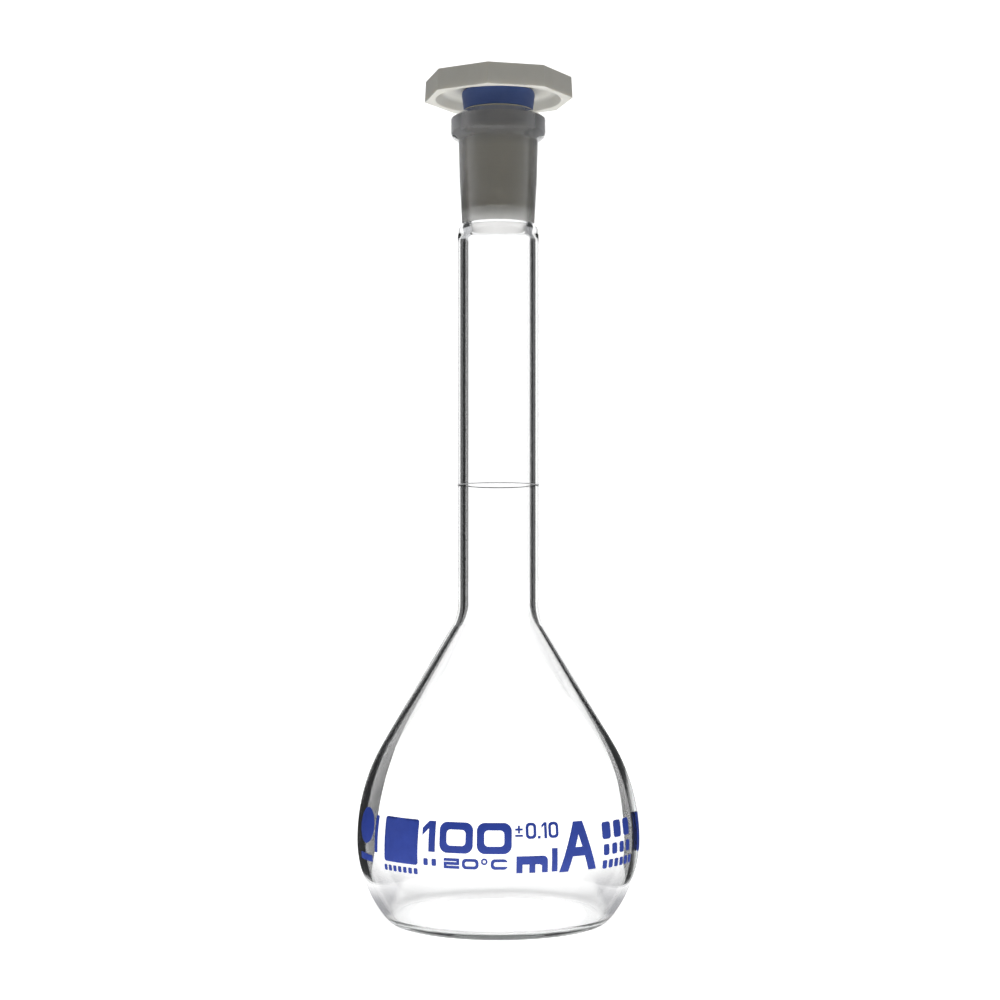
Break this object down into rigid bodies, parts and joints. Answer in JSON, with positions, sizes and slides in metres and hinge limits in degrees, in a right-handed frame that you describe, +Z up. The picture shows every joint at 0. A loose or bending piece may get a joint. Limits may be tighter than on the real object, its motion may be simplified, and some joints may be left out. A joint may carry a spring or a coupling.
{
  "type": "volumetric flask",
  "caption": "Pear-shaped flat-bottomed one-mark glass flask with a long neck, ring mark, ground socket and a lift-out, turning stopper with an eight-sided head.",
  "frame": {"origin": "centre of the base, on the surface that the flask stands on", "axes": "+Z up along the flask's axis, through the neck and the stopper; -Y is the side with the printed capacity; +X to the right of that side"},
  "size_m": [0.0586, 0.0587, 0.1756],
  "materials": {
    "clear_glass": "clear, fire polished",
    "ground_glass": "ground inside, frosted",
    "mark_enamel": "fired enamel",
    "blue_enamel": "fired enamel",
    "white_plastic": "moulded, satin",
    "natural_plastic": "moulded, waxy",
    "blue_plastic": "moulded, satin"
  },
  "bodies": {
    "flask": {"bulb": "clear_glass", "neck_tube": "clear_glass", "ground_socket": "ground_glass", "ring_mark": "mark_enamel", "writing_patch": "blue_enamel", "capacity_print": "blue_enamel", "unit_print": "blue_enamel", "tolerance_print": "blue_enamel", "temperature_print": "blue_enamel", "class_print": "blue_enamel", "standard_bars": "blue_enamel", "glass_type_bar": "blue_enamel", "maker_marks": "blue_enamel"},
    "ring": {"colour_ring": "blue_plastic"},
    "stopper": {"stopper_head": "white_plastic", "stopper_plug": "natural_plastic"}
  },
  "joints": [
    {"name": "stopper_lift", "type": "slide", "parent": "flask", "child": "ring", "axis": [0, 0, 1], "range_m": [0, 0.04]},
    {"name": "stopper_twist", "type": "hinge", "parent": "ring", "child": "stopper", "pos_m": [0, 0, 0.171], "axis": [0, 0, 1], "continuous": true}
  ]
}
